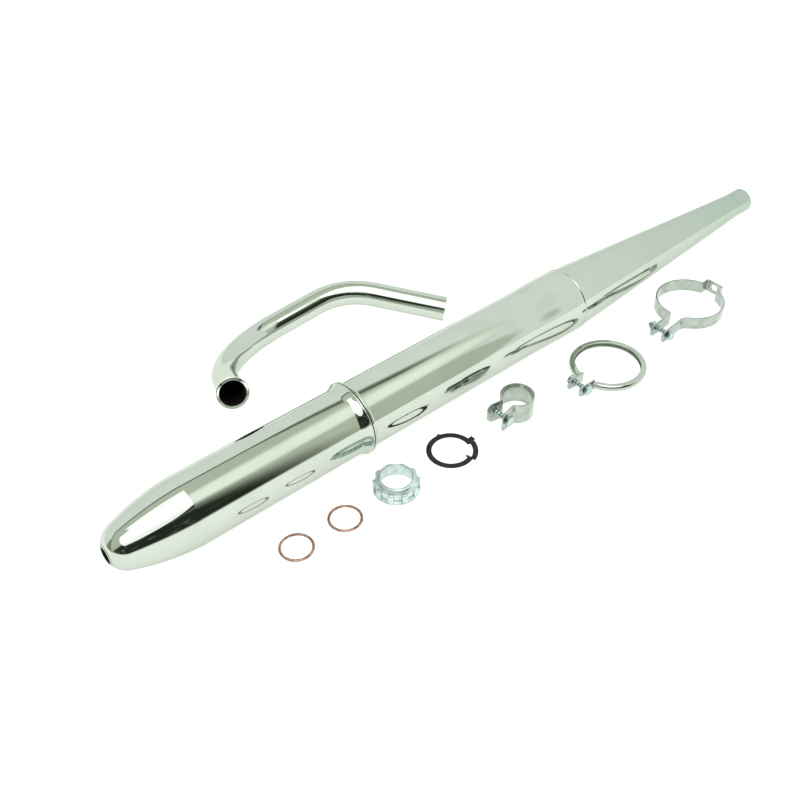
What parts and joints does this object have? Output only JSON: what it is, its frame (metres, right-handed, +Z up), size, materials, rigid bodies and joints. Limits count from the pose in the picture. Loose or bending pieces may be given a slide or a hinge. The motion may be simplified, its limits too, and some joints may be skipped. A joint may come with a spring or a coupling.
{
  "type": "exhaust muffler",
  "caption": "Chromed cigar-shaped exhaust muffler for a small motorcycle, with its bent header pipe, collar nut, sealing rings and clamps laid beside it.",
  "frame": {"origin": "middle of the laid-out kit, on the surface it lies on", "axes": "+X along the muffler from the outlet nose to the inlet sleeve, +Y towards the header pipe, +Z up"},
  "size_m": [0.8934, 0.333, 0.077],
  "materials": {
    "chrome": "bright chrome plate on steel",
    "bare_steel": "bare sheet steel",
    "zinc_casting": "bright zinc plated casting",
    "copper": "soft copper",
    "black_steel": "matt black steel",
    "zinc_plate": "bright zinc plated strip",
    "zinc_bolt": "zinc plated"
  },
  "bodies": {
    "main": {"main_tube": "chrome", "divider_plate": "bare_steel", "transfer_tube": "bare_steel", "counter_cone": "bare_steel", "inlet_cone": "chrome", "seam_bead": "chrome", "inlet_sleeve": "chrome"},
    "slip": {"slip_sleeve": "bare_steel"},
    "tail": {"tail_nose": "chrome", "tail_tube": "chrome", "outlet_pipe": "chrome", "baffle_front": "bare_steel", "baffle_middle": "bare_steel", "baffle_rear": "bare_steel", "core_tube": "bare_steel"},
    "header": {"header_far_run": "chrome", "header_flat_bend": "chrome", "header_middle_run": "chrome", "header_rising_bend": "chrome", "header_mouth_run": "chrome", "header_collar": "chrome"},
    "collar_nut": {"collar_nut": "zinc_casting"},
    "copper_ring_1": {"copper_ring_1": "copper"},
    "copper_ring_2": {"copper_ring_2": "copper"},
    "lock_ring": {"lock_ring": "black_steel"},
    "pipe_clamp": {"pipe_clamp_band": "zinc_plate"},
    "pipe_clamp_bolt": {"pipe_clamp_bolt": "zinc_bolt"},
    "pipe_clamp_nut": {"pipe_clamp_nut": "zinc_bolt"},
    "ring_clamp": {"ring_clamp_band": "chrome", "ring_clamp_lug_near": "zinc_plate", "ring_clamp_lug_far": "zinc_plate"},
    "ring_clamp_bolt": {"ring_clamp_bolt": "zinc_bolt"},
    "ring_clamp_nut": {"ring_clamp_nut": "zinc_bolt"},
    "mount_clamp": {"mount_clamp_band": "zinc_plate"},
    "mount_clamp_bolt": {"mount_clamp_bolt": "zinc_bolt"},
    "mount_clamp_nut": {"mount_clamp_nut": "zinc_bolt"}
  },
  "joints": [
    {"name": "tail_pull", "type": "slide", "parent": "main", "child": "slip", "axis": [-1, 0, 0], "range_m": [0, 0.12]},
    {"name": "tail_turn", "type": "hinge", "parent": "slip", "child": "tail", "pos_m": [-0.18025, -0.04, 0.0385], "axis": [1, 0, 0], "range_deg": [-180, 180]},
    {"name": "header_lift", "type": "slide", "parent": "main", "child": "header", "axis": [0, 0, 1], "range_m": [0, 0.18]},
    {"name": "collar_nut_lift", "type": "slide", "parent": "main", "child": "collar_nut", "axis": [0, 0, 1], "range_m": [0, 0.12]},
    {"name": "copper_ring_1_lift", "type": "slide", "parent": "main", "child": "copper_ring_1", "axis": [0, 0, 1], "range_m": [0, 0.12]},
    {"name": "copper_ring_2_lift", "type": "slide", "parent": "main", "child": "copper_ring_2", "axis": [0, 0, 1], "range_m": [0, 0.12]},
    {"name": "lock_ring_lift", "type": "slide", "parent": "main", "child": "lock_ring", "axis": [0, 0, 1], "range_m": [0, 0.12]},
    {"name": "pipe_clamp_lift", "type": "slide", "parent": "main", "child": "pipe_clamp", "axis": [0, 0, 1], "range_m": [0, 0.12]},
    {"name": "ring_clamp_lift", "type": "slide", "parent": "main", "child": "ring_clamp", "axis": [0, 0, 1], "range_m": [0, 0.12]},
    {"name": "mount_clamp_lift", "type": "slide", "parent": "main", "child": "mount_clamp", "axis": [0, 0, 1], "range_m": [0, 0.12]},
    {"name": "pipe_clamp_bolt_turn", "type": "hinge", "parent": "pipe_clamp", "child": "pipe_clamp_bolt", "pos_m": [-0.04425, -0.1095, 0.01175], "axis": [0, 1, 0], "range_deg": [0, 1440.5]},
    {"name": "pipe_clamp_nut_travel", "type": "slide", "parent": "pipe_clamp", "child": "pipe_clamp_nut", "axis": [0, 1, 0], "range_m": [0, 0.004]},
    {"name": "ring_clamp_bolt_turn", "type": "hinge", "parent": "ring_clamp", "child": "ring_clamp_bolt", "pos_m": [0.05645, -0.125, 0.006], "axis": [0, 1, 0], "range_deg": [0, 1800.5]},
    {"name": "ring_clamp_nut_travel", "type": "slide", "parent": "ring_clamp", "child": "ring_clamp_nut", "axis": [0, 1, 0], "range_m": [0, 0.005]},
    {"name": "mount_clamp_bolt_turn", "type": "hinge", "parent": "mount_clamp", "child": "mount_clamp_bolt", "pos_m": [0.19445, -0.1132, 0.00725], "axis": [0, 1, 0], "range_deg": [0, 1800.5]},
    {"name": "mount_clamp_nut_travel", "type": "slide", "parent": "mount_clamp", "child": "mount_clamp_nut", "axis": [0, 1, 0], "range_m": [0, 0.005]}
  ],
  "couplings": [
    {"joint": "pipe_clamp_bolt_turn", "follows": "pipe_clamp_nut_travel", "rad_per_m": 6283.2},
    {"joint": "ring_clamp_bolt_turn", "follows": "ring_clamp_nut_travel", "rad_per_m": 6283.2},
    {"joint": "mount_clamp_bolt_turn", "follows": "mount_clamp_nut_travel", "rad_per_m": 6283.2}
  ]
}
